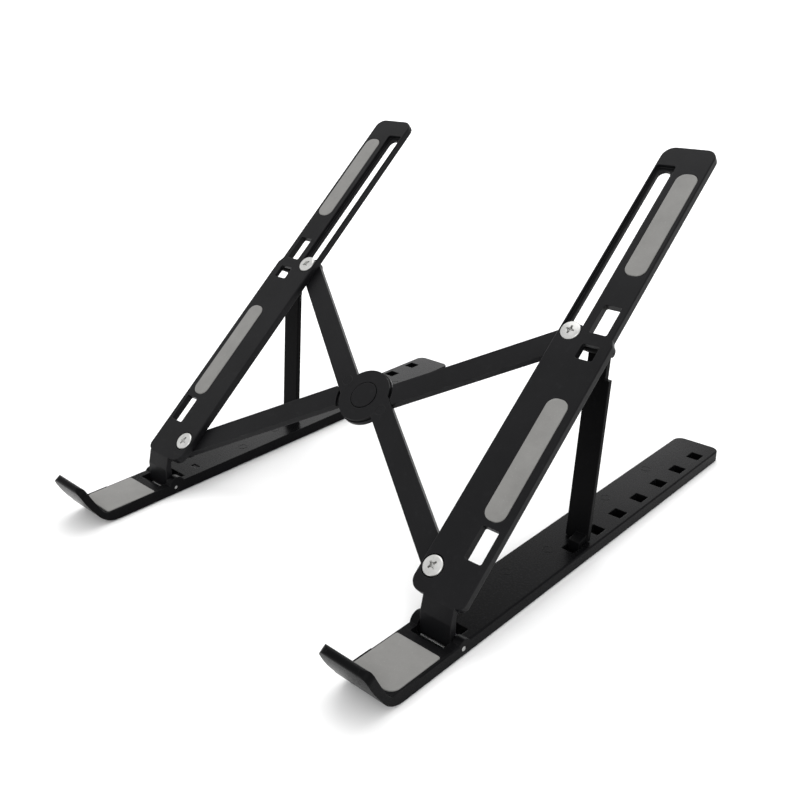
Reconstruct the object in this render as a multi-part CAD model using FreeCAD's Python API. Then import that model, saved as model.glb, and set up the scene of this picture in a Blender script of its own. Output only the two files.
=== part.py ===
"""Folding X-frame laptop stand: two hinged rail and arm sides joined by a pair of crossed bars.

Units are millimetres, +Z is up, +Y is towards the back and the front lips are at -Y.  The origin is
on the table in the middle of the stand.  Each side is modelled once, as the right-hand side, in two
local frames, and the left side is its mirror image:
  rail frame  x across the rail (outwards), y behind the hinge pin, z above the table
  arm frame   x across the arm (outwards), y along the arm from the hinge pin, z square to the arm
"""
import FreeCAD, Part
import math
import os

V = FreeCAD.Vector

# ---- driving dimensions -------------------------------------------------------------------------
# whole stand
RAIL_SPACING_HALF = 90.3      # middle of the stand to the middle of a rail, fully open
ARM_TILT = 39.4               # slope of the arms with the struts in the front sockets, degrees

# base rail
RAIL_LENGTH = 252.4           # tip of the lip to the rear end
LIP_TO_HINGE = 48.8
RAIL_HALF_WIDTH = 11.7
RAIL_BOTTOM = 0.5             # the rubber feet lift the rail off the table
DECK_TOP = 5.6
WALL = 2.0
EDGE_ROUND = 0.6
REAR_CORNER_RADIUS = 4.5
HINGE_HEIGHT = 3.2
SOCKET_COUNT = 7
SOCKET_PITCH = 18.3
REAR_SOCKET_Y = 188.1
SOCKET_X = 5.7
SOCKET_WIDTH = 6.2
SOCKET_LENGTH = 6.6
SOCKET_FLOOR = 1.4
HINGE_SLOT_INNER = -8.1
HINGE_SLOT_OUTER = 7.7
HINGE_SLOT_FRONT = -7.4
HINGE_SLOT_BACK = 7.4
HINGE_RAMP_FOOT = (-3.2, 1.9)  # the slot's front end slopes down to here (y, z)
EAR_RADIUS = 4.2
PAD_INNER = -11.0
PAD_OUTER = 10.7
PAD_FRONT = -36.6
PAD_BACK = -11.2
PAD_SEAT = 4.9
PAD_TOP = 5.95
FOOT_SEAT = 1.1

# hinge pin
PIN_RADIUS = 1.1
FIT_FIXED = 0.02              # radial gap of a fixed fit
FIT_RUNNING = 0.08            # radial gap of a running fit

# arm
ARM_FACE = 11.7               # carrying face above the hinge axis, square to the arm
ARM_UNDER = 8.3               # lower edge of the arm's skirt
ARM_WEB = 9.5                 # underside of the web between the skirts
ARM_INNER = -15.7
ARM_OUTER = 8.8               # upper part
ARM_OUTER_LOW = 10.3          # lower part, which covers the strut
ARM_STEP = 127.5              # height along the arm where the lower part ends
ARM_START = 9.5
ARM_END = 228.5
TONGUE_INNER = -7.6
TONGUE_OUTER = 7.2
BARREL_RADIUS = 2.7
STRIP_INNER = -2.9
STRIP_OUTER = 7.0
STRIP_SEAT = 10.9
STRIP_TOP = 12.0
STRIP_ROUND = 4.2
UPPER_STRIP = (160.3, 214.6)
LOWER_STRIP = (44.4, 99.8)

# scissor frame
PIVOT_X = -10.3               # pivots and slots across the arm
LOWER_PIVOT = 20.2            # lower pivot along the arm
SLOT_START = 129.8            # slider centre, stand fully open
CLOSED_HALF_ANGLE = 5.0       # bar to arm direction when the stand is closed, degrees
SLOT_HALF_WIDTH = 3.0
HEAD_TRACK_HALF_WIDTH = 4.6
HEAD_TRACK_FLOOR = 9.9
BAR_TOP = 8.0
BAR_BOTTOM = 4.8
BAR_HALF_WIDTH = 5.2
BAR_OFFSET = 4.9              # sideways set of each half bar at the hub, so that they close side by side
BAR_END_RADIUS = 5.6
UPPER_DISC_RADIUS = 12.9
UPPER_DISC_BOTTOM = 6.5
LOWER_DISC_RADIUS = 13.4
LOWER_DISC_TOP = 6.2
LOWER_DISC_BOTTOM = 4.2
LAP_GAP = 0.35                # between the bars side by side at the hub, stand fully open
HUB_PIN_RADIUS = 3.0
HUB_CAP_RADIUS = 6.4

# screws
SCREW_RADIUS = 1.5
HEAD_RADIUS = 4.4
HEAD_TOP = 12.4
NUT_FLATS = 5.5
NUT_HEIGHT = 1.8

# strut
STRUT_PIN_Y = 127.0           # pin along the arm and square to it
STRUT_PIN_Z = 7.1
STRUT_PIN_RADIUS = 1.0
STRUT_INNER = -2.0
STRUT_OUTER = 8.9
STRUT_FRONT = -0.8            # front and back faces from the pin axis
STRUT_BACK = -3.3
STRUT_FOOT_GAP = 0.5          # the broad part ends this far above the deck
NECK_OUTER = 7.0
NECK_LENGTH = 12.0
KNUCKLE_RADIUS = 2.1
LUG_RADIUS = 2.0
LUG_WIDTH = 2.0
LUG_GAP = 0.3
KNUCKLE_POCKET = (118.5, 129.6)
TENON_HALF_WIDTH = 2.6
TENON_FRONT = 4.6
TENON_BACK = 2.5
TENON_DEPTH = 2.5
TENON_BACK_GAP = 0.15

# ---- worked-out values --------------------------------------------------------------------------
HINGE_Y = LIP_TO_HINGE - RAIL_LENGTH / 2
RAIL_REAR = RAIL_LENGTH - LIP_TO_HINGE
PIVOT_FROM_MIDDLE = RAIL_SPACING_HALF + PIVOT_X
HALF_RISE = (SLOT_START - LOWER_PIVOT) / 2
HALF_BAR = math.hypot(PIVOT_FROM_MIDDLE, HALF_RISE)
OPEN_HALF_ANGLE = math.degrees(math.atan2(PIVOT_FROM_MIDDLE, HALF_RISE))
SLOT_END = LOWER_PIVOT + 2 * HALF_BAR * math.cos(math.radians(CLOSED_HALF_ANGLE))
HUB_Y = (LOWER_PIVOT + SLOT_START) / 2
SLOPE = math.radians(ARM_TILT)
SOCKET_YS = [REAR_SOCKET_Y - SOCKET_PITCH * i for i in range(SOCKET_COUNT)]


# ---- small tools --------------------------------------------------------------------------------
def box(x0, x1, y0, y1, z0, z1):
    return Part.makeBox(x1 - x0, y1 - y0, z1 - z0, V(x0, y0, z0))


def post(x, y, z0, z1, radius):
    """Cylinder standing along z."""
    return Part.makeCylinder(radius, z1 - z0, V(x, y, z0))


def cross_pin(x0, x1, y, z, radius):
    """Cylinder lying along x."""
    return Part.makeCylinder(radius, x1 - x0, V(x0, y, z), V(1, 0, 0))


def rounded_face(corners, z):
    """Flat face through (x, y, radius) corners, each rounded with its own radius."""
    edges = []
    count = len(corners)
    starts = []
    ends = []
    middles = []
    for i in range(count):
        x, y, radius = corners[i]
        here = V(x, y, z)
        before = V(corners[i - 1][0], corners[i - 1][1], z)
        after = V(corners[(i + 1) % count][0], corners[(i + 1) % count][1], z)
        to_before = (before - here).normalize()
        to_after = (after - here).normalize()
        half = to_before.getAngle(to_after) / 2
        reach = radius / math.tan(half)
        starts.append(here + to_before * reach)
        ends.append(here + to_after * reach)
        bisector = (to_before + to_after).normalize()
        centre = here + bisector * (radius / math.sin(half))
        middles.append(centre - bisector * radius)
    for i in range(count):
        if corners[i][2] > 0:
            edges.append(Part.Arc(starts[i], middles[i], ends[i]).toShape())
        edges.append(Part.makeLine(ends[i], starts[(i + 1) % count]))
    return Part.Face(Part.Wire(edges))


def rounded_prism(corners, z0, z1):
    return rounded_face(corners, z0).extrude(V(0, 0, z1 - z0))


def rounded_box(x0, x1, y0, y1, z0, z1, radius):
    corners = [(x0, y0, radius), (x1, y0, radius), (x1, y1, radius), (x0, y1, radius)]
    return rounded_prism(corners, z0, z1)


def slot_prism(x, y0, y1, half_width, z0, z1):
    """Round-ended slot along y between two centres."""
    middle = box(x - half_width, x + half_width, y0, y1, z0, z1)
    return middle.fuse([post(x, y0, z0, z1, half_width), post(x, y1, z0, z1, half_width)]).removeSplitter()


def round_rim(solid, z, radius):
    """Fillet the outline edges that lie wholly at height z."""
    rim = [e for e in solid.Edges if abs(e.BoundBox.ZMin - z) < 1e-6 and abs(e.BoundBox.ZMax - z) < 1e-6]
    return solid.makeFillet(radius, rim)


def arc(a, b, c):
    """Arc in a side profile through three (y, z) points."""
    return Part.Arc(V(0, *a), V(0, *b), V(0, *c)).toShape()


def side_prism(edges, x0, x1):
    """Solid from side-profile edges in the x = 0 plane, extruded from x0 to x1."""
    face = Part.Face(Part.Wire(edges))
    face.translate(V(x0, 0, 0))
    return face.extrude(V(x1 - x0, 0, 0))


def side_polygon(points, x0, x1):
    closed = [V(0, y, z) for y, z in points]
    closed.append(closed[0])
    return side_prism(Part.makePolygon(closed).Edges, x0, x1)


def on_rail(shape, side):
    """Rail frame to the stand's frame; side is 1 for right and -1 for left."""
    placed = shape.copy() if side > 0 else shape.mirror(V(0, 0, 0), V(1, 0, 0))
    placed.translate(V(side * RAIL_SPACING_HALF, HINGE_Y, 0))
    return placed


def arm_to_rail(shape):
    """Arm frame to rail frame."""
    placed = shape.copy()
    placed.rotate(V(0, 0, 0), V(1, 0, 0), ARM_TILT)
    placed.translate(V(0, 0, HINGE_HEIGHT))
    return placed


def on_arm(shape, side):
    return on_rail(arm_to_rail(shape), side)


def on_frame(shape):
    """Scissor frame to the stand's frame: x from the middle, y and z as in the arm frame."""
    placed = arm_to_rail(shape)
    placed.translate(V(0, HINGE_Y, 0))
    return placed


# ---- base rail ----------------------------------------------------------------------------------
def front_lip():
    """Upturned front edge that stops the laptop, as one side profile across the rail."""
    edges = [
        Part.makeLine(V(0, -24.0, RAIL_BOTTOM), V(0, -32.0, RAIL_BOTTOM)),
        arc((-32.0, RAIL_BOTTOM), (-38.3, 2.5), (-42.0, 6.8)),
        arc((-42.0, 6.8), (-46.0, 13.1), (-LIP_TO_HINGE, 19.5)),
        arc((-LIP_TO_HINGE, 19.5), (-47.7, 21.7), (-45.6, 20.9)),
        arc((-45.6, 20.9), (-42.9, 14.8), (-40.1, 9.2)),
        arc((-40.1, 9.2), (-38.7, 7.0), (-37.0, DECK_TOP)),
        Part.makeLine(V(0, -37.0, DECK_TOP), V(0, -24.0, DECK_TOP)),
        Part.makeLine(V(0, -24.0, DECK_TOP), V(0, -24.0, RAIL_BOTTOM)),
    ]
    lip = side_prism(edges, -RAIL_HALF_WIDTH, RAIL_HALF_WIDTH)
    lean = V(0, -0.56, 0.83)
    across_lip = V(0, -0.83, -0.56)
    corner = 4.0
    tip = V(0, -47.2, 21.9)
    for end in (-1, 1):
        centre = tip + V(end * (RAIL_HALF_WIDTH - corner), 0, 0) - lean * corner
        block = Part.makeBox(2 * corner, 2 * corner, 12.0)
        block.translate(V(0, 0, -6.0))
        drum = Part.makeCylinder(corner, 14.0, V(0, 0, -7.0))
        cutter = block.cut(drum)
        x_axis = V(end, 0, 0)
        turn = FreeCAD.Matrix(x_axis.x, lean.x, across_lip.x, centre.x,
                              x_axis.y, lean.y, across_lip.y, centre.y,
                              x_axis.z, lean.z, across_lip.z, centre.z)
        lip = lip.cut(cutter.transformGeometry(turn))
    return lip


def hinge_slot():
    """Opening for the arm's tongue, through to the underside except for a ramp at its front."""
    ramp_y, ramp_z = HINGE_RAMP_FOOT
    return side_polygon([(ramp_y, -1), (ramp_y, ramp_z), (HINGE_SLOT_FRONT, DECK_TOP), (HINGE_SLOT_FRONT, 12),
                         (HINGE_SLOT_BACK, 12), (HINGE_SLOT_BACK, -1)], HINGE_SLOT_INNER, HINGE_SLOT_OUTER)


def base_rail():
    deck = rounded_prism([(-RAIL_HALF_WIDTH, -25.0, 0), (RAIL_HALF_WIDTH, -25.0, 0),
                          (RAIL_HALF_WIDTH, RAIL_REAR, REAR_CORNER_RADIUS),
                          (-RAIL_HALF_WIDTH, RAIL_REAR, REAR_CORNER_RADIUS)], RAIL_BOTTOM, DECK_TOP)
    long_rim = [e for e in deck.Edges
                if abs(e.BoundBox.ZMin - DECK_TOP) < 1e-6 and e.BoundBox.ZLength < 1e-6
                and e.BoundBox.YMax > -24.0]
    deck = deck.makeFillet(EDGE_ROUND, long_rim)
    rail = deck.fuse(front_lip())
    ears = [cross_pin(-RAIL_HALF_WIDTH, HINGE_SLOT_INNER, 0.6, HINGE_HEIGHT + 1.2, EAR_RADIUS),
            cross_pin(HINGE_SLOT_OUTER, RAIL_HALF_WIDTH, 0.6, HINGE_HEIGHT + 0.4, EAR_RADIUS - 0.9)]
    rail = rail.fuse([ear.common(box(-20, 20, -20, 20, RAIL_BOTTOM, 20)) for ear in ears])
    cuts = [hinge_slot(),
            cross_pin(-RAIL_HALF_WIDTH - 1, RAIL_HALF_WIDTH + 1, 0, HINGE_HEIGHT, PIN_RADIUS + FIT_FIXED),
            pad_outline(PAD_SEAT, PAD_TOP + 3, 0.0)]
    for y in SOCKET_YS:
        cuts.append(box(SOCKET_X - SOCKET_WIDTH / 2, SOCKET_X + SOCKET_WIDTH / 2,
                        y - SOCKET_LENGTH / 2, y + SOCKET_LENGTH / 2, SOCKET_FLOOR, DECK_TOP + 1))
    for y0, y1 in ((15.0, 58.0), (60.0, 112.0), (114.0, 166.0)):
        cuts.append(box(-RAIL_HALF_WIDTH + WALL, 0.6, y0, y1, -1, DECK_TOP - WALL))
    for foot in foot_outlines(-1, FOOT_SEAT, 0.0):
        cuts.append(foot)
    cuts.append(box(-6.2, -1.4, 15.6, 18.0, DECK_TOP - 0.4, DECK_TOP + 1))
    return rail.cut(cuts).removeSplitter()


def pad_outline(z0, z1, inset):
    inner = PAD_INNER + inset
    outer = PAD_OUTER - inset
    front = PAD_FRONT + inset
    back = PAD_BACK - inset
    corners = [(inner, front, 1.2), (outer, front, 4.2), (outer, back, 1.2), (inner, back, 1.2)]
    return rounded_prism(corners, z0, z1)


def foot_outlines(z0, z1, inset):
    front = rounded_box(-7.5 + inset, 7.5 - inset, -29.0 + inset, -14.0 - inset, z0, z1, 2.5)
    rear = rounded_box(-9.5 + inset, -0.5 - inset, 172.0 + inset, 198.0 - inset, z0, z1, 2.5)
    return [front, rear]


def rail_pad():
    pad = pad_outline(PAD_SEAT, PAD_TOP, 0.15)
    return round_rim(pad, PAD_TOP, 0.35)


def hinge_pin():
    pin = cross_pin(-RAIL_HALF_WIDTH + 0.6, RAIL_HALF_WIDTH, 0, HINGE_HEIGHT, PIN_RADIUS)
    ends = [e for e in pin.Edges if e.BoundBox.XLength < 1e-6]
    return pin.makeChamfer(0.25, ends)


# ---- arm ----------------------------------------------------------------------------------------
def tongue():
    """Leg from the arm's lower end down to the barrel on the hinge pin."""
    outline = [(11.5, ARM_FACE), (9.2, ARM_FACE), (3.9, 8.0), (-1.4, 2.31), (0.8, 0.27), (8.3, ARM_UNDER),
               (11.5, ARM_UNDER)]
    leg = side_polygon(outline, TONGUE_INNER, TONGUE_OUTER)
    return leg.fuse(cross_pin(TONGUE_INNER, TONGUE_OUTER, 0, 0, BARREL_RADIUS))


def arm():
    body = rounded_prism([(ARM_INNER, ARM_START, 5.0), (ARM_OUTER_LOW, ARM_START, 3.5),
                          (ARM_OUTER_LOW, ARM_STEP, 1.5), (ARM_OUTER, ARM_STEP + 2.6, 1.5),
                          (ARM_OUTER, ARM_END, 5.0), (ARM_INNER, ARM_END, 5.5)], ARM_UNDER, ARM_FACE)
    body = round_rim(body, ARM_FACE, EDGE_ROUND)
    inner_lug = STRUT_INNER - LUG_GAP
    outer_lug = NECK_OUTER + LUG_GAP
    lugs = strut_lug(inner_lug - LUG_WIDTH, inner_lug) + strut_lug(outer_lug, outer_lug + LUG_WIDTH)
    pockets = [rounded_box(-4.2, ARM_OUTER - 1.5, 147.0, 224.0, ARM_UNDER - 1, ARM_WEB, 2.0),
               rounded_box(ARM_INNER + 1.5, ARM_OUTER_LOW - 1.5, 44.0, 76.0, ARM_UNDER - 1, ARM_WEB, 2.0),
               rounded_box(ARM_INNER + 1.5, ARM_OUTER_LOW - 1.5, 78.0, 112.0, ARM_UNDER - 1, ARM_WEB, 2.0)]
    body = body.cut(pockets).fuse(lugs + [tongue()])
    cuts = [slot_prism(PIVOT_X, SLOT_START, SLOT_END, SLOT_HALF_WIDTH, ARM_UNDER - 1, ARM_FACE + 1),
            head_track(),
            post(PIVOT_X, LOWER_PIVOT, HEAD_TRACK_FLOOR, ARM_FACE + 1, HEAD_RADIUS + 0.5),
            post(PIVOT_X, LOWER_PIVOT, ARM_UNDER - 1, ARM_FACE + 1, SCREW_RADIUS + FIT_RUNNING),
            cross_pin(-20, 20, 0, 0, PIN_RADIUS + FIT_RUNNING),
            cross_pin(inner_lug - LUG_WIDTH - 1, ARM_OUTER_LOW + 4, STRUT_PIN_Y, STRUT_PIN_Z,
                      STRUT_PIN_RADIUS + FIT_FIXED),
            rounded_box(-2.3, 5.7, 131.0, 144.9, 0, 20, 0.8),
            rounded_box(-2.3, 5.7, 118.5, 125.6, ARM_UNDER - 1, 20, 0.8),
            box(inner_lug, outer_lug, *KNUCKLE_POCKET, ARM_UNDER - 2, ARM_WEB),
            rounded_box(-0.2, 7.7, 27.8, 42.0, 0, 20, 0.8),
            strip_outline(UPPER_STRIP, STRIP_SEAT, ARM_FACE + 1, 0.0),
            strip_outline(LOWER_STRIP, STRIP_SEAT, ARM_FACE + 1, 0.0)]
    return body.cut(cuts).removeSplitter()


def strut_lug(x0, x1):
    """Ear under the arm that carries one end of the strut's pin."""
    return [cross_pin(x0, x1, STRUT_PIN_Y, STRUT_PIN_Z, LUG_RADIUS),
            box(x0, x1, STRUT_PIN_Y - LUG_RADIUS, STRUT_PIN_Y + LUG_RADIUS, STRUT_PIN_Z, ARM_WEB + 0.5)]


def head_track():
    """Shallow channel that the slider's screw head runs in."""
    low = SLOT_START
    high = SLOT_END + HEAD_RADIUS + 0.3
    start = post(PIVOT_X, low, HEAD_TRACK_FLOOR, ARM_FACE + 1, HEAD_TRACK_HALF_WIDTH)
    run = rounded_box(PIVOT_X - HEAD_TRACK_HALF_WIDTH, PIVOT_X + HEAD_TRACK_HALF_WIDTH, low, high,
                      HEAD_TRACK_FLOOR, ARM_FACE + 1, 1.2)
    join = box(PIVOT_X - HEAD_TRACK_HALF_WIDTH, PIVOT_X + HEAD_TRACK_HALF_WIDTH, low, low + 3,
               HEAD_TRACK_FLOOR, ARM_FACE + 1)
    return start.fuse([run, join]).removeSplitter()


def strip_outline(span, z0, z1, inset):
    return rounded_box(STRIP_INNER + inset, STRIP_OUTER - inset, span[0] + inset, span[1] - inset,
                       z0, z1, STRIP_ROUND)


def grip_strip(span):
    strip = strip_outline(span, STRIP_SEAT, STRIP_TOP, 0.15)
    return round_rim(strip, STRIP_TOP, 0.35)


# ---- scissor frame ------------------------------------------------------------------------------
def half_bar_face(direction, z, margin=0.0):
    """Tapering-offset strip from the hub to a pivot; direction is 1 up and -1 down."""
    lean = math.atan2(BAR_OFFSET, HALF_BAR)
    across = V(math.cos(lean), -math.sin(lean), 0) * (BAR_HALF_WIDTH + margin)
    near = V(-BAR_OFFSET, 0, 0)
    far = V(0, HALF_BAR, 0)
    points = [near - across, near + across, far + across, far - across]
    points = [V(p.x * direction, p.y * direction, z) for p in points]
    return Part.Face(Part.makePolygon(points + [points[0]]))


def half_bar(direction, z0, z1):
    strip = half_bar_face(direction, z0).extrude(V(0, 0, z1 - z0))
    return strip.fuse(post(0, direction * HALF_BAR, z0, z1, BAR_END_RADIUS)).removeSplitter()


def bar_pocket(direction):
    """Hollow in the underside of a half bar."""
    pocket = rounded_box(-BAR_HALF_WIDTH + 1.5, BAR_HALF_WIDTH - 1.5, 24.0, HALF_BAR - 12.0,
                         BAR_BOTTOM - 1, BAR_TOP - 1.4, 1.0)
    lean = math.degrees(math.atan2(BAR_OFFSET, HALF_BAR))
    pocket.rotate(V(0, 0, 0), V(0, 0, 1), -lean)
    pocket.translate(V(-BAR_OFFSET, 0, 0))
    if direction < 0:
        pocket.rotate(V(0, 0, 0), V(0, 0, 1), 180)
    return pocket


def bar_cuts():
    cuts = []
    for direction in (1, -1):
        y = direction * HALF_BAR
        cuts.append(bar_pocket(direction))
        cuts.append(post(0, y, BAR_BOTTOM - 2, BAR_TOP + 2, SCREW_RADIUS + FIT_FIXED))
        cuts.append(nut_block(0, y, BAR_BOTTOM - 1, BAR_BOTTOM + NUT_HEIGHT + 0.1, 0.08))
    return cuts


def crossing_bar():
    """Space taken by the other bar when the stand is fully open, in a bar's own frame."""
    strips = []
    for direction in (1, -1):
        strip = half_bar_face(direction, BAR_BOTTOM - 1, LAP_GAP).extrude(V(0, 0, 6))
        strip = strip.mirror(V(0, 0, 0), V(1, 0, 0))
        strip.rotate(V(0, 0, 0), V(0, 0, 1), -2 * OPEN_HALF_ANGLE)
        strips.append(strip.common(post(0, 0, 0, 20, 2 * LOWER_DISC_RADIUS)))
    return strips


def lapped_bar(clear_radius, lap_bottom, lap_top, disc):
    """Bar of full depth outside the hub and of part depth where the two bars cross."""
    bar = None
    for direction in (1, -1):
        full = half_bar(direction, BAR_BOTTOM, BAR_TOP)
        full = full.cut([post(0, 0, BAR_BOTTOM - 3, BAR_TOP + 3, clear_radius)] + crossing_bar())
        lap = half_bar_face(direction, lap_bottom).extrude(V(0, 0, lap_top - lap_bottom))
        half = full.fuse(lap)
        bar = half if bar is None else bar.fuse(half)
    return bar.fuse(disc).cut(bar_cuts())


def upper_bar():
    disc = post(0, 0, UPPER_DISC_BOTTOM, BAR_TOP, UPPER_DISC_RADIUS)
    bar = lapped_bar(LOWER_DISC_RADIUS + 0.5, UPPER_DISC_BOTTOM, BAR_TOP, disc)
    bar = bar.cut([post(0, 0, 0, 20, HUB_PIN_RADIUS + FIT_RUNNING),
                   post(0, 0, BAR_TOP - 0.8, 20, HUB_CAP_RADIUS + 0.4)])
    return bar.removeSplitter()


def lower_bar():
    """Mirror image of the upper bar, with its disc underneath."""
    disc = post(0, 0, LOWER_DISC_BOTTOM, LOWER_DISC_TOP, LOWER_DISC_RADIUS)
    bar = lapped_bar(UPPER_DISC_RADIUS + 1.8, BAR_BOTTOM, LOWER_DISC_TOP, disc)
    bar = bar.cut(post(0, 0, 0, 20, HUB_PIN_RADIUS + FIT_FIXED))
    return bar.removeSplitter().mirror(V(0, 0, 0), V(1, 0, 0))


def place_bar(shape, lean):
    """Turn a bar about the hub and set it in the scissor frame; lean is 1 for a bar that rises left."""
    turned = shape.copy()
    turned.rotate(V(0, 0, 0), V(0, 0, 1), lean * OPEN_HALF_ANGLE)
    turned.translate(V(0, HUB_Y, 0))
    return on_frame(turned)


def hub_cap():
    cap = post(0, 0, BAR_TOP - 0.8, BAR_TOP + 0.25, HUB_CAP_RADIUS)
    return round_rim(cap, BAR_TOP + 0.25, 0.3)


def hub_pin():
    return post(0, 0, LOWER_DISC_BOTTOM - 1.4, BAR_TOP - 1.1, HUB_PIN_RADIUS)


def hub_retainer():
    ring = post(0, 0, LOWER_DISC_BOTTOM - 1.2, LOWER_DISC_BOTTOM, 6.2)
    return ring.cut(post(0, 0, 0, 20, HUB_PIN_RADIUS + FIT_FIXED))


# ---- screws -------------------------------------------------------------------------------------
def nut_block(x, y, z0, z1, gap):
    radius = (NUT_FLATS / 2 + gap) / math.cos(math.pi / 6)
    turns = [math.radians(60 * i) for i in range(7)]
    corners = [V(x + radius * math.cos(turn), y + radius * math.sin(turn), z0) for turn in turns]
    return Part.Face(Part.makePolygon(corners)).extrude(V(0, 0, z1 - z0))


def screw(head_bottom):
    """Cross-head screw standing on the bar, seen from its own axis."""
    head = post(0, 0, head_bottom, HEAD_TOP, HEAD_RADIUS)
    head = round_rim(head, HEAD_TOP, 0.7)
    for angle in (35.0, 125.0):
        wing = box(-2.1, 2.1, -0.42, 0.42, HEAD_TOP - 1.2, HEAD_TOP + 1)
        wing.rotate(V(0, 0, 0), V(0, 0, 1), angle)
        head = head.cut(wing)
    shank = post(0, 0, BAR_BOTTOM + 0.1, head_bottom, SCREW_RADIUS)
    return head.fuse(shank).removeSplitter()


def nut():
    block = nut_block(0, 0, BAR_BOTTOM + 0.1, BAR_BOTTOM + 0.1 + NUT_HEIGHT, 0.0)
    return block.cut(post(0, 0, 0, 20, SCREW_RADIUS + FIT_FIXED))


def slider_washer():
    return post(0, 0, HEAD_TRACK_FLOOR + 0.1, HEAD_TRACK_FLOOR + 0.6, 4.2).cut(
        post(0, 0, 0, 20, SCREW_RADIUS + FIT_FIXED))


def slider_bush():
    return post(0, 0, BAR_TOP, HEAD_TRACK_FLOOR + 0.1, SLOT_HALF_WIDTH - 0.3).cut(
        post(0, 0, 0, 20, SCREW_RADIUS + FIT_FIXED))


def at_pivot(shape, side, y):
    """Set a screw or nut at a pivot, turned with the bar it is fixed to."""
    placed = shape.copy()
    placed.rotate(V(0, 0, 0), V(0, 0, 1), OPEN_HALF_ANGLE if y < HUB_Y else -OPEN_HALF_ANGLE)
    placed.translate(V(PIVOT_X, y, 0))
    return on_arm(placed, side)


# ---- strut --------------------------------------------------------------------------------------
def pin_in_rail_frame():
    y = STRUT_PIN_Y * math.cos(SLOPE) - STRUT_PIN_Z * math.sin(SLOPE)
    z = HINGE_HEIGHT + STRUT_PIN_Y * math.sin(SLOPE) + STRUT_PIN_Z * math.cos(SLOPE)
    return y, z


def strut_lean():
    """Angle of the strut from upright, degrees, that sets its tenon at the back of the front socket."""
    pin_y, pin_z = pin_in_rail_frame()
    tenon_middle = (TENON_FRONT + TENON_BACK) / 2
    tenon_y = SOCKET_YS[-1] + SOCKET_LENGTH / 2 - TENON_BACK_GAP - (TENON_FRONT - TENON_BACK) / 2
    drop = pin_z - DECK_TOP
    run = pin_y - tenon_y
    return math.degrees(math.asin(-tenon_middle / math.hypot(drop, run)) + math.atan2(run, drop))


def upright(shape):
    """Strut frame (hanging straight down from its pin, front at -y) to rail frame."""
    pin_y, pin_z = pin_in_rail_frame()
    placed = shape.copy()
    placed.rotate(V(0, 0, 0), V(1, 0, 0), -strut_lean())
    placed.translate(V(0, pin_y, pin_z))
    return placed


def tenon():
    """Foot of the strut: it steps forward below the broad part and stands in the rail's socket."""
    reach = 100.0
    outline = [(-TENON_FRONT, -reach), (-TENON_FRONT, -82.4), (-STRUT_FRONT, -80.5), (2.4, -80.5),
               (2.4, -83.4), (-TENON_BACK, -83.9), (-TENON_BACK, -reach)]
    foot = side_polygon(outline, SOCKET_X - TENON_HALF_WIDTH, SOCKET_X + TENON_HALF_WIDTH)
    return upright(foot).cut(box(-30, 30, 0, 200, -50, DECK_TOP - TENON_DEPTH))


def strut():
    reach = 100.0
    neck = box(STRUT_INNER, NECK_OUTER, -STRUT_FRONT, -STRUT_BACK, -NECK_LENGTH - 1, 0)
    broad = box(STRUT_INNER, STRUT_OUTER, -STRUT_FRONT, -STRUT_BACK, -reach, -NECK_LENGTH)
    long_edges = [e for e in broad.Edges if e.BoundBox.ZLength > 50]
    broad = broad.makeFillet(0.4, long_edges)
    hollow = rounded_box(STRUT_INNER + 1.5, STRUT_OUTER - 1.5, -72.0, -NECK_LENGTH - 4.0, 0, 1.5, 1.0)
    hollow.rotate(V(0, 0, 0), V(1, 0, 0), 90)
    hollow.translate(V(0, -STRUT_BACK + 0.1, 0))
    knuckle = cross_pin(STRUT_INNER, NECK_OUTER, 0, 0, KNUCKLE_RADIUS)
    body = knuckle.fuse([neck, broad])
    body = body.cut([hollow, cross_pin(-20, 20, 0, 0, STRUT_PIN_RADIUS + FIT_RUNNING)])
    body = upright(body).cut(box(-30, 30, 0, 200, -50, DECK_TOP + STRUT_FOOT_GAP))
    return body.fuse(tenon()).removeSplitter()


def strut_pin():
    """Plain pin, a little shorter than the lugs it is pressed into."""
    inner_end = STRUT_INNER - LUG_GAP - LUG_WIDTH + 0.2
    outer_end = NECK_OUTER + LUG_GAP + LUG_WIDTH - 0.4
    pin = cross_pin(inner_end, outer_end, STRUT_PIN_Y, STRUT_PIN_Z, STRUT_PIN_RADIUS)
    ends = [e for e in pin.Edges if e.BoundBox.XLength < 1e-6]
    return pin.makeChamfer(0.2, ends)


# ---- assembly -----------------------------------------------------------------------------------
def side_parts(side):
    front_foot, rear_foot = foot_outlines(0, FOOT_SEAT, 0.15)
    head_bottom = HEAD_TRACK_FLOOR + 0.1
    return {
        "base_rail": on_rail(base_rail(), side),
        "rail_pad": on_rail(rail_pad(), side),
        "front_foot": on_rail(front_foot, side),
        "rear_foot": on_rail(rear_foot, side),
        "hinge_pin": on_rail(hinge_pin(), side),
        "arm": on_arm(arm(), side),
        "upper_grip_strip": on_arm(grip_strip(UPPER_STRIP), side),
        "lower_grip_strip": on_arm(grip_strip(LOWER_STRIP), side),
        "strut": on_rail(strut(), side),
        "strut_pin": on_arm(strut_pin(), side),
        "pivot_screw": at_pivot(screw(head_bottom), side, LOWER_PIVOT),
        "pivot_nut": at_pivot(nut(), side, LOWER_PIVOT),
        "slider_screw": at_pivot(screw(head_bottom + 0.5), side, SLOT_START),
        "slider_washer": at_pivot(slider_washer(), side, SLOT_START),
        "slider_bush": at_pivot(slider_bush(), side, SLOT_START),
        "slider_nut": at_pivot(nut(), side, SLOT_START),
    }


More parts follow.
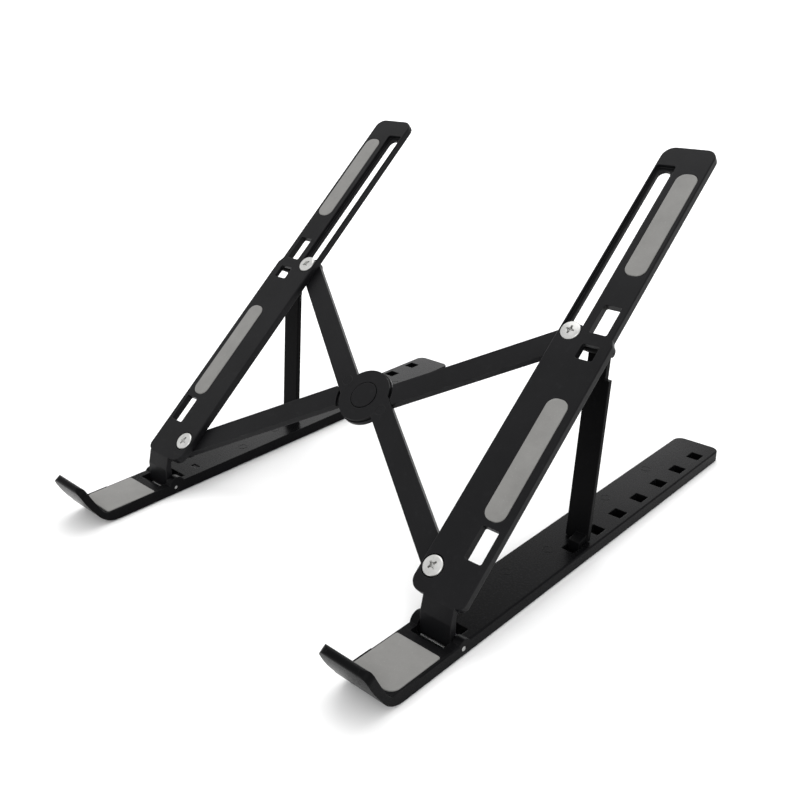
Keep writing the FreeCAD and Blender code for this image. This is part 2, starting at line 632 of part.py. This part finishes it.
def build():
    parts = {}
    for name, side in (("right", 1), ("left", -1)):
        for piece, shape in side_parts(side).items():
            parts[name + "_" + piece] = shape
    parts["upper_cross_bar"] = place_bar(upper_bar(), 1)
    parts["lower_cross_bar"] = place_bar(lower_bar(), -1)
    parts["hub_cap"] = place_bar(hub_cap(), 0)
    parts["hub_pin"] = place_bar(hub_pin(), 0)
    parts["hub_retainer"] = place_bar(hub_retainer(), 0)
    return parts


os.makedirs("parts", exist_ok=True)
for node, solid in build().items():
    solid.exportStep("parts/" + node + ".step")
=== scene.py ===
"""Looks of the folding laptop stand: moulded black plastic, grey silicone grips and zinc screws."""
import math

import bmesh
import bpy
from mathutils import Matrix, Vector


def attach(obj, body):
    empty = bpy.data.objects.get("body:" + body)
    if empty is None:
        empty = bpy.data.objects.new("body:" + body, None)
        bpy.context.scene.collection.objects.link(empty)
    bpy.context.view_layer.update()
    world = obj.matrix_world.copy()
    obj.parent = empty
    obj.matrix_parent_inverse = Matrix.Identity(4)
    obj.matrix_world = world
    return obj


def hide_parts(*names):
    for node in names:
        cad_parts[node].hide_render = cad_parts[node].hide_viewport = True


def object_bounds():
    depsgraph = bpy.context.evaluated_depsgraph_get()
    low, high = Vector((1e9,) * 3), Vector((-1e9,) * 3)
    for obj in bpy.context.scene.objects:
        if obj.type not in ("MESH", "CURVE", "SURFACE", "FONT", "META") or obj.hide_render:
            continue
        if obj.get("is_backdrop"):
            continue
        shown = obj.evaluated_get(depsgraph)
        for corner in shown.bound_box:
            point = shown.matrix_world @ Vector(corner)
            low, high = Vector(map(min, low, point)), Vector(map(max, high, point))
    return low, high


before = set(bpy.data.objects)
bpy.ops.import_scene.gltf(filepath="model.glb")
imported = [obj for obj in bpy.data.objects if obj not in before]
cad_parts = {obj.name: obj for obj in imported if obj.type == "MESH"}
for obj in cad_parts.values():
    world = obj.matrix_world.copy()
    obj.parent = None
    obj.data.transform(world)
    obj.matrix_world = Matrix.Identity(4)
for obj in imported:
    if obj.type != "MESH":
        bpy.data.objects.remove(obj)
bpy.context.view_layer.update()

MM = 0.001

# ---- the stand's own numbers, in millimetres and degrees ------------------------------------------
RAIL_SPACING_HALF = 90.3
HINGE_Y = -77.4
HINGE_HEIGHT = 3.2
ARM_TILT = 39.4
PIVOT_X = -10.3
LOWER_PIVOT = 20.2
SLOT_START = 129.8
HUB_Y = (LOWER_PIVOT + SLOT_START) / 2
HALF_BAR = math.hypot(RAIL_SPACING_HALF + PIVOT_X, (SLOT_START - LOWER_PIVOT) / 2)
OPEN_HALF_ANGLE = math.atan2(RAIL_SPACING_HALF + PIVOT_X, (SLOT_START - LOWER_PIVOT) / 2)
BAR_TOP = 8.0
BAR_OFFSET = 4.9
PAD_RADII = (1.05, 1.05, 1.05, 4.05)
STRIP_RADIUS = 4.05
DECK_TOP = 5.6
DECK_MARKS = ((-1.0, 70.5), (-6.0, 123.5), (-6.0, 160.5), (-4.5, 46.0))

BAR_MARK = 13.2               # moulding marks on the upper bar, from the hub

# ---- screw heads ----------------------------------------------------------------------------------
AXIS = 0.02                   # radius used for a turned solid's axis
HEAD_HEIGHT = 1.85
WING_LENGTH = 2.25            # half length and half width of a recess wing
WING_WIDTH = 0.50
WING_DEPTH = 1.25
CUT_CLEARANCE = 0.4

# ---- floor ----------------------------------------------------------------------------------------
FLOOR_RADIUS = 9.0            # metres
FLOOR_DROP = 0.0002

# ---- camera ---------------------------------------------------------------------------------------
CAMERA_AZIMUTH = 43.774
CAMERA_ELEVATION = 23.780
CAMERA_ROLL = -1.395
CAMERA_TARGET = Vector((-13.17, 12.6, 38.19)) * MM
CAMERA_DISTANCE = 446.89 * MM
CAMERA_LENS = 41.0

SIDES = {"right": 1, "left": -1}


# ---- frames ---------------------------------------------------------------------------------------
def rail_frame(side):
    """Rail frame in millimetres to the scene, mirrored for the left side."""
    mirror = Matrix.Diagonal((side, 1, 1, 1))
    return Matrix.Scale(MM, 4) @ Matrix.Translation((side * RAIL_SPACING_HALF, HINGE_Y, 0)) @ mirror


def arm_frame(side):
    tilt = Matrix.Rotation(math.radians(ARM_TILT), 4, "X")
    return rail_frame(side) @ Matrix.Translation((0, 0, HINGE_HEIGHT)) @ tilt


def bar_frame(lean):
    """Frame of a cross bar: origin at the hub, y along the bar; lean is 1 for the upper bar."""
    tilt = Matrix.Rotation(math.radians(ARM_TILT), 4, "X")
    hub = Matrix.Translation((0, HINGE_Y, HINGE_HEIGHT)) @ tilt @ Matrix.Translation((0, HUB_Y, 0))
    return Matrix.Scale(MM, 4) @ hub @ Matrix.Rotation(lean * OPEN_HALF_ANGLE, 4, "Z")


def local_box(node, to_scene):
    """Lowest and highest corner of a CAD node, in one of the frames above."""
    inverse = to_scene.inverted()
    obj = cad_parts[node]
    points = [inverse @ (obj.matrix_world @ v.co) for v in obj.data.vertices]
    low = Vector([min(p[i] for p in points) for i in range(3)])
    high = Vector([max(p[i] for p in points) for i in range(3)])
    return low, high


# ---- materials ------------------------------------------------------------------------------------
class Nodes:
    """Short calls for one material's node tree."""

    def __init__(self, name):
        self.material = bpy.data.materials.new(name)
        self.material.use_nodes = True
        self.tree = self.material.node_tree
        self.shader = self.tree.nodes["Principled BSDF"]
        self.place = self.add("ShaderNodeTexCoord").outputs["Object"]

    def add(self, kind, **settings):
        node = self.tree.nodes.new(kind)
        for key, value in settings.items():
            setattr(node, key, value)
        return node

    def link(self, a, b):
        self.tree.links.new(a, b)

    def noise(self, scale, detail=2.0, roughness=0.5, stretch=None):
        node = self.add("ShaderNodeTexNoise")
        node.inputs["Scale"].default_value = scale
        node.inputs["Detail"].default_value = detail
        node.inputs["Roughness"].default_value = roughness
        place = self.place
        if stretch:
            mapping = self.add("ShaderNodeMapping")
            mapping.inputs["Scale"].default_value = stretch
            self.link(place, mapping.inputs["Vector"])
            place = mapping.outputs["Vector"]
        self.link(place, node.inputs["Vector"])
        return node.outputs["Fac"]

    def ramp(self, value, stops):
        node = self.add("ShaderNodeValToRGB")
        elements = node.color_ramp.elements
        while len(elements) < len(stops):
            elements.new(0.5)
        for element, (position, colour) in zip(elements, stops):
            element.position = position
            element.color = (*colour, 1.0) if isinstance(colour, tuple) else (colour, colour, colour, 1.0)
        self.link(value, node.inputs["Fac"])
        return node.outputs["Color"]

    def span(self, value, low, high, new_low, new_high):
        node = self.add("ShaderNodeMapRange")
        for key, number in (("From Min", low), ("From Max", high), ("To Min", new_low), ("To Max", new_high)):
            node.inputs[key].default_value = number
        self.link(value, node.inputs["Value"])
        return node.outputs["Result"]

    def math(self, operation, a, b=None):
        node = self.add("ShaderNodeMath", operation=operation)
        for socket, value in zip(node.inputs, (a, b)):
            if value is None:
                continue
            if isinstance(value, (int, float)):
                socket.default_value = value
            else:
                self.link(value, socket)
        return node.outputs["Value"]

    def mix(self, factor, a, b):
        node = self.add("ShaderNodeMix", data_type="RGBA")
        colours = [socket for socket in node.inputs if socket.type == "RGBA"]
        if isinstance(factor, (int, float)):
            node.inputs["Factor"].default_value = factor
        else:
            self.link(factor, node.inputs["Factor"])
        for socket, value in zip(colours, (a, b)):
            if isinstance(value, tuple):
                socket.default_value = (*value, 1.0)
            else:
                self.link(value, socket)
        return [socket for socket in node.outputs if socket.type == "RGBA"][0]

    def soft_edges(self, radius):
        node = self.add("ShaderNodeBevel", samples=6)
        node.inputs["Radius"].default_value = radius
        return node.outputs["Normal"]

    def edge_mask(self, bevelled, low, high):
        """1 on outer edges, for wear and a painted highlight; 0 on faces."""
        geometry = self.add("ShaderNodeNewGeometry")
        dot = self.add("ShaderNodeVectorMath", operation="DOT_PRODUCT")
        self.link(bevelled, dot.inputs[0])
        self.link(geometry.outputs["Normal"], dot.inputs[1])
        return self.span(self.math("SUBTRACT", 1.0, dot.outputs["Value"]), low, high, 0.0, 1.0)

    def bump(self, height, strength, distance, normal=None):
        node = self.add("ShaderNodeBump")
        node.inputs["Strength"].default_value = strength
        node.inputs["Distance"].default_value = distance
        self.link(height, node.inputs["Height"])
        if normal is not None:
            self.link(normal, node.inputs["Normal"])
        return node.outputs["Normal"]

    def set(self, **values):
        for key, value in values.items():
            socket = self.shader.inputs[key.replace("_", " ")]
            if isinstance(value, tuple):
                socket.default_value = (*value, 1.0)
            elif isinstance(value, (int, float)):
                socket.default_value = value
            else:
                self.link(value, socket)


def moulded_plastic(name, dark, light, grain=1.0, shine=0.09, rubbed_highlight=0.045, rough=(0.44, 0.36)):
    """Black ABS from a finely etched mould: even grain, cloudy gloss, edges painted lighter as wear and a
    painted highlight.
    """
    n = Nodes(name)
    cloud = n.noise(26.0, 4.0, 0.6)
    fleck = n.noise(420.0, 2.0, 0.5)
    fine = n.noise(2600.0, 2.0, 0.6)
    coarse = n.noise(900.0, 3.0, 0.55)
    base = n.ramp(cloud, [(0.30, dark), (0.72, light)])
    base = n.mix(n.span(fleck, 0.60, 0.80, 0.0, 0.35), base, tuple(c * 1.9 for c in light))
    edges = n.soft_edges(0.00045)
    # Outer edges painted lighter: partly wear, partly a painted highlight.
    worn_and_highlit = n.edge_mask(edges, 0.02, 0.16)
    patchy_wear_and_highlight = n.math("MULTIPLY", worn_and_highlit, n.span(n.noise(180.0, 3.0, 0.6), 0.35, 0.75, 0.15, 0.8))
    base = n.mix(patchy_wear_and_highlight, base, (rubbed_highlight, rubbed_highlight, rubbed_highlight))
    gloss = n.math("ADD", n.span(cloud, 0.2, 0.8, *rough), n.span(coarse, 0.3, 0.7, -0.03, 0.05))
    height = n.math("ADD", n.math("MULTIPLY", fine, 0.5), n.math("MULTIPLY", coarse, 0.5))
    n.set(Base_Color=base, Roughness=gloss, Normal=n.bump(height, 0.30 * grain, 0.00012, edges))
    n.set(Specular_IOR_Level=shine)
    return n.material


def silicone(name, dark, light):
    """Matte grey silicone with a powdery bloom and a fine cloudy tone."""
    n = Nodes(name)
    cloud = n.noise(60.0, 5.0, 0.65)
    dust = n.noise(1500.0, 2.0, 0.5)
    base = n.ramp(cloud, [(0.32, dark), (0.70, light)])
    base = n.mix(n.span(dust, 0.62, 0.82, 0.0, 0.30), base, (0.32, 0.317, 0.306))
    rough = n.span(cloud, 0.3, 0.7, 0.72, 0.84)
    height = n.math("ADD", n.math("MULTIPLY", dust, 0.6), n.math("MULTIPLY", n.noise(350.0, 3.0, 0.5), 0.4))
    n.set(Base_Color=base, Roughness=rough, Normal=n.bump(height, 0.22, 0.00010))
    n.set(Specular_IOR_Level=0.35, Sheen_Weight=0.12, Sheen_Roughness=0.5)
    return n.material


def plated_metal(name, dark, light, rough, grain=(1.0, 1.0, 1.0)):
    """Zinc-plated or drawn steel with fine machining lines."""
    n = Nodes(name)
    cloud = n.noise(300.0, 3.0, 0.6)
    lines = n.noise(2200.0, 3.0, 0.6, stretch=grain)
    base = n.ramp(cloud, [(0.30, dark), (0.70, light)])
    sheen = n.span(cloud, 0.3, 0.7, rough - 0.05, rough + 0.06)
    gloss = n.math("ADD", sheen, n.span(lines, 0.3, 0.7, -0.04, 0.05))
    n.set(Base_Color=base, Roughness=gloss, Normal=n.bump(lines, 0.12, 0.00005, n.soft_edges(0.0002)))
    n.set(Metallic=1.0)
    return n.material


ABS = moulded_plastic("black_abs_moulded", (0.0036, 0.0036, 0.0041), (0.0066, 0.0066, 0.0073))
# Rails: base colour darker than the arms' black ABS, painted shade; also lower roughness and weaker specular.
ABS_DECK_PAINTED_SHADE = moulded_plastic("black_abs_deck_painted_shade", (0.0022, 0.0022, 0.0025), (0.0044, 0.0044, 0.0048),
                           grain=0.35, shine=0.028, rubbed_highlight=0.04, rough=(0.30, 0.22))
ABS_SMOOTH = moulded_plastic("black_abs_smooth", (0.0034, 0.0034, 0.0039), (0.0060, 0.0060, 0.0067), 0.5)
# Struts: base colour darker than the black ABS, painted shade; also weaker specular.
ABS_MATT_PAINTED_SHADE = moulded_plastic("black_abs_matt_painted_shade", (0.0022, 0.0022, 0.0024), (0.0036, 0.0036, 0.0039),
                           shine=0.03, rubbed_highlight=0.02)
SILICONE = silicone("grey_silicone_matte", (0.150, 0.148, 0.142), (0.190, 0.188, 0.181))
SCREW_METAL = plated_metal("zinc_plated_head", (0.42, 0.42, 0.41), (0.53, 0.53, 0.52), 0.32)
PIN_METAL = plated_metal("drawn_steel_pin", (0.30, 0.30, 0.30), (0.42, 0.42, 0.41), 0.32, (0.15, 1.0, 1.0))


def paint(obj, material):
    obj.data.materials.clear()
    obj.data.materials.append(material)


# ---- building pieces ------------------------------------------------------------------------------
def add_piece(name, bm, to_scene, body, material, replaces=()):
    """Finish a mesh drawn in a frame: place it, paint it and tie it to its body."""
    mesh = bpy.data.meshes.new(name)
    bmesh.ops.transform(bm, matrix=to_scene, verts=bm.verts)
    bmesh.ops.recalc_face_normals(bm, faces=bm.faces)
    bm.to_mesh(mesh)
    bm.free()
    obj = bpy.data.objects.new(name, mesh)
    bpy.context.scene.collection.objects.link(obj)
    for polygon in mesh.polygons:
        polygon.use_smooth = True
    mesh.set_sharp_from_angle(angle=math.radians(38))
    paint(obj, material)
    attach(obj, body)
    if replaces:
        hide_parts(*replaces)
    return obj


def rounded_outline(low, high, radii, inset, z, steps=8):
    """Points round a rectangle drawn in by inset; radii run from the high x, high y corner, anticlockwise."""
    points = []
    corners = []
    turns = ((1, 1, 0), (-1, 1, 90), (-1, -1, 180), (1, -1, 270))
    for radius, (across, along, start) in zip(radii, turns):
        r = max(radius - inset, 0.05)
        x = (high.x if across > 0 else low.x) - across * (inset + r)
        y = (high.y if along > 0 else low.y) - along * (inset + r)
        corners.append((x, y, r, start))
    for x, y, r, start in corners:
        for i in range(steps + 1):
            angle = math.radians(start + 90 * i / steps)
            points.append(Vector((x + r * math.cos(angle), y + r * math.sin(angle), z)))
    return points


def skin_rings(bm, rings, close_first=True, close_last=True):
    """Walls between rings of equal length, with the ends closed."""
    rows = [[bm.verts.new(p) for p in ring] for ring in rings]
    count = len(rows[0])
    for a, b in zip(rows, rows[1:]):
        for i in range(count):
            k = (i + 1) % count
            bm.faces.new((a[i], a[k], b[k], b[i]))
    if close_first:
        bm.faces.new(list(reversed(rows[0])))
    if close_last:
        bm.faces.new(rows[-1])
    return rows


def grip_mesh(low, high, radius, edge, crown):
    """Moulded silicone pad: rolled edge and a slightly crowned top."""
    bm = bmesh.new()
    radius = radius if isinstance(radius, tuple) else (radius,) * 4
    rings = [rounded_outline(low, high, radius, 0.0, low.z)]
    rings.append(rounded_outline(low, high, radius, 0.0, high.z - crown - edge))
    for i in range(1, 6):
        angle = math.radians(90 * i / 5)
        rings.append(rounded_outline(low, high, radius, edge * (1 - math.cos(angle)),
                                     high.z - crown - edge * (1 - math.sin(angle))))
    half = min(high.x - low.x, high.y - low.y) / 2
    for share in (0.18, 0.36, 0.6, 0.85):
        inset = edge + (half - edge) * share
        rings.append(rounded_outline(low, high, radius, inset, high.z - crown * (1 - share) ** 2))
    skin_rings(bm, rings)
    return bm


def circle(radius, z, steps, x=0.0, y=0.0):
    """Points round a level circle."""
    turns = [2 * math.pi * i / steps for i in range(steps)]
    return [Vector((x + radius * math.cos(turn), y + radius * math.sin(turn), z)) for turn in turns]


def lathe(bm, profile, steps=48):
    """Closed turned solid from (radius, z) pairs, from the axis round to the axis."""
    skin_rings(bm, [circle(radius, z, steps) for radius, z in profile])


def tapered_wing(bm, length, width, top, bottom, angle):
    """One wing of a cross recess, narrower at the bottom."""
    turn = Matrix.Rotation(angle, 3, "Z")
    rings = []
    for z, grow in ((bottom, 0.62), (top, 1.0)):
        x = length * grow
        y = width * grow
        rings.append([turn @ Vector(p) for p in ((x, y, z), (-x, y, z), (-x, -y, z), (x, -y, z))])
    skin_rings(bm, rings)


def boolean_difference(bm, cutter):
    """bm minus cutter, with Blender's exact boolean."""
    objects = []
    for source in (bm, cutter):
        bmesh.ops.recalc_face_normals(source, faces=source.faces)
        mesh = bpy.data.meshes.new("boolean_part")
        source.to_mesh(mesh)
        source.free()
        obj = bpy.data.objects.new("boolean_part", mesh)
        bpy.context.scene.collection.objects.link(obj)
        objects.append(obj)
    modifier = objects[0].modifiers.new("cut", "BOOLEAN")
    modifier.operation = "DIFFERENCE"
    modifier.solver = "EXACT"
    modifier.object = objects[1]
    evaluated = objects[0].evaluated_get(bpy.context.evaluated_depsgraph_get())
    result = bmesh.new()
    result.from_mesh(evaluated.to_mesh())
    for obj in objects:
        mesh = obj.data
        bpy.data.objects.remove(obj)
        bpy.data.meshes.remove(mesh)
    return result


def screw_mesh(low, high, turn):
    """Pan-head screw with a cross recess, in its own millimetres: low and high bound the CAD screw."""
    radius = (high.x - low.x) / 2
    top = high.z
    under = top - HEAD_HEIGHT
    bm = bmesh.new()
    profile = [(AXIS, low.z), (1.2, low.z), (1.5, low.z + 0.3), (1.5, under), (radius - 0.25, under),
               (radius, under + 0.22)]
    for i in range(7):
        angle = math.radians(90 * i / 6)
        profile.append((radius - 0.9 + 0.9 * math.cos(angle), top - 0.95 + 0.75 * math.sin(angle)))
    profile += [(radius - 1.6, top - 0.10), (radius - 2.6, top - 0.03), (0.9, top), (AXIS, top)]
    lathe(bm, profile)
    tools = []
    for quarter in (0.0, math.pi / 2):
        wing = bmesh.new()
        tapered_wing(wing, WING_LENGTH, WING_WIDTH, top + CUT_CLEARANCE, top - WING_DEPTH, turn + quarter)
        tools.append(wing)
    centre = bmesh.new()
    lathe(centre, [(AXIS, top - 1.55), (0.35, top - 1.4), (0.95, top - 0.7), (1.25, top + CUT_CLEARANCE),
                   (AXIS, top + CUT_CLEARANCE)], 24)
    tools.append(centre)
    for tool in tools:
        bm = boolean_difference(bm, tool)
    return bm


def ring_mark(bm, x, y, radius, z):
    """Low raised ring left by an ejector pin."""
    width = 0.42
    height = 0.10
    profile = [(radius - width, z - 0.05), (radius - width * 0.6, z + height * 0.85),
               (radius - width * 0.3, z + height), (radius, z - 0.05)]
    skin_rings(bm, [circle(r, level, 36, x, y) for r, level in profile], False, False)


def moulding_marks(name, places, radius, z, to_scene, body, material):
    """Faint rings left by ejector pins, as one piece on a body."""
    bm = bmesh.new()
    for x, y in places:
        ring_mark(bm, x, y, radius, z)
    add_piece(name, bm, to_scene, body, material)


def strip_centre(distance):
    """Point on a bar's centre line, in the bar's frame; negative distances are on the lower half."""
    sign = 1 if distance > 0 else -1
    offset = BAR_OFFSET * (1 - abs(distance) / HALF_BAR)
    return -sign * offset, distance


# ---- grips, feet and screws -----------------------------------------------------------------------
for side_name, side in SIDES.items():
    arm_body = "arm_" + side_name
    rail_body = "rail_" + side_name
    for part in ("upper_grip_strip", "lower_grip_strip"):
        node = side_name + "_" + part
        low, high = local_box(node, arm_frame(side))
        mesh = grip_mesh(low, high, STRIP_RADIUS, 0.35, 0.06)
        add_piece(node + "_silicone", mesh, arm_frame(side), arm_body, SILICONE, [node])
    for part, radius in (("rail_pad", PAD_RADII), ("front_foot", 2.35), ("rear_foot", 2.35)):
        node = side_name + "_" + part
        low, high = local_box(node, rail_frame(side))
        if part == "rail_pad":
            mesh = grip_mesh(low, high, radius, 0.35, 0.05)
        else:
            flipped_low = Vector((low.x, low.y, -high.z))
            flipped_high = Vector((high.x, high.y, -low.z))
            mesh = grip_mesh(flipped_low, flipped_high, radius, 0.3, 0.04)
            bmesh.ops.transform(mesh, matrix=Matrix.Diagonal((1, 1, -1, 1)), verts=mesh.verts)
        add_piece(node + "_silicone", mesh, rail_frame(side), rail_body, SILICONE, [node])

    pivot_bar, slider_bar = ("upper_bar", "lower_bar") if side > 0 else ("lower_bar", "upper_bar")
    for part, y, body, turn in (("pivot_screw", LOWER_PIVOT, pivot_bar, 0.62),
                                ("slider_screw", SLOT_START, slider_bar, 1.1)):
        node = side_name + "_" + part
        low, high = local_box(node, arm_frame(side))
        shift = Matrix.Translation((PIVOT_X, y, 0))
        mesh = screw_mesh(low, high, turn + side * 0.35)
        add_piece(node + "_head", mesh, arm_frame(side) @ shift, body, SCREW_METAL, [node])

# ---- moulding marks -------------------------------------------------------------------------------
moulding_marks("upper_bar_moulding_marks", [strip_centre(d) for d in (BAR_MARK, -BAR_MARK)], 2.7, BAR_TOP,
               bar_frame(1), "upper_bar", ABS_SMOOTH)
for side_name, side in SIDES.items():
    moulding_marks(side_name + "_rail_moulding_marks", DECK_MARKS, 2.4, DECK_TOP, rail_frame(side),
                   "rail_" + side_name, ABS_DECK_PAINTED_SHADE)

# ---- finish on the carried-over CAD nodes ---------------------------------------------------------
for name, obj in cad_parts.items():
    if "pin" in name:
        paint(obj, PIN_METAL)
    elif "screw" in name or "nut" in name or "washer" in name:
        paint(obj, SCREW_METAL)
    elif "bush" in name or "cap" in name:
        paint(obj, ABS_SMOOTH)
    elif name.endswith("strut"):
        paint(obj, ABS_MATT_PAINTED_SHADE)
    elif "rail" in name:
        paint(obj, ABS_DECK_PAINTED_SHADE)
    elif "pad" in name or "foot" in name or "strip" in name:
        paint(obj, SILICONE)
    else:
        paint(obj, ABS)

# ---- floor, light and camera ----------------------------------------------------------------------
floor_mesh = bpy.data.meshes.new("floor")
floor_bm = bmesh.new()
bmesh.ops.create_circle(floor_bm, cap_ends=True, radius=FLOOR_RADIUS, segments=96)
floor_bm.to_mesh(floor_mesh)
floor_bm.free()
floor = bpy.data.objects.new("floor", floor_mesh)
bpy.context.scene.collection.objects.link(floor)
floor_nodes = Nodes("pale_floor")
floor_tone = floor_nodes.ramp(floor_nodes.noise(3.0), [(0.3, 0.86), (0.7, 0.88)])
floor_nodes.set(Base_Color=floor_tone, Roughness=0.75)
paint(floor, floor_nodes.material)
floor.location.z = -FLOOR_DROP
floor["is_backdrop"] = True


def area_light(name, place, target, size, power, size_y=None):
    data = bpy.data.lights.new(name, "AREA")
    data.shape = "RECTANGLE"
    data.size = size
    data.size_y = size_y or size
    data.energy = power
    obj = bpy.data.objects.new(name, data)
    obj.location = place
    obj.rotation_mode = "QUATERNION"
    obj.rotation_quaternion = (Vector(target) - Vector(place)).to_track_quat("-Z", "Y")
    bpy.context.scene.collection.objects.link(obj)


area_light("top_softbox", (-0.2, 0.5, 1.5), (0, 0, 0.05), 1.6, 9.0, 1.2)
area_light("back_softbox", (-1.2, 1.4, 0.7), (0, 0, 0.05), 1.4, 8.0, 0.8)
area_light("front_softbox", (1.3, -0.9, 0.9), (0, 0, 0.05), 1.0, 5.0)

world = bpy.data.worlds.new("studio")
bpy.context.scene.world = world
world.use_nodes = True
sky = world.node_tree
background = sky.nodes["Background"]
background.inputs["Color"].default_value = (1.0, 1.0, 1.0, 1.0)
background.inputs["Strength"].default_value = 1.2

camera_data = bpy.data.cameras.new("camera")
camera_data.lens = CAMERA_LENS
camera_data.sensor_width = 36.0
camera_data.clip_start = 0.01
camera_data.clip_end = 50.0
camera = bpy.data.objects.new("camera", camera_data)
azimuth = math.radians(CAMERA_AZIMUTH)
elevation = math.radians(CAMERA_ELEVATION)
roll = math.radians(CAMERA_ROLL)
forward = Vector((-math.sin(azimuth) * math.cos(elevation), math.cos(azimuth) * math.cos(elevation),
                  -math.sin(elevation)))
level_right = Vector((math.cos(azimuth), math.sin(azimuth), 0.0))
level_up = level_right.cross(forward)
camera_right = math.cos(roll) * level_right + math.sin(roll) * level_up
camera_up = -math.sin(roll) * level_right + math.cos(roll) * level_up
camera_place = CAMERA_TARGET - forward * CAMERA_DISTANCE
camera.matrix_world = Matrix((
    (camera_right.x, camera_up.x, -forward.x, camera_place.x),
    (camera_right.y, camera_up.y, -forward.y, camera_place.y),
    (camera_right.z, camera_up.z, -forward.z, camera_place.z),
    (0.0, 0.0, 0.0, 1.0)))
bpy.context.scene.collection.objects.link(camera)
bpy.context.scene.camera = camera
bpy.context.scene.view_settings.view_transform = "Standard"

low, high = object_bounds()
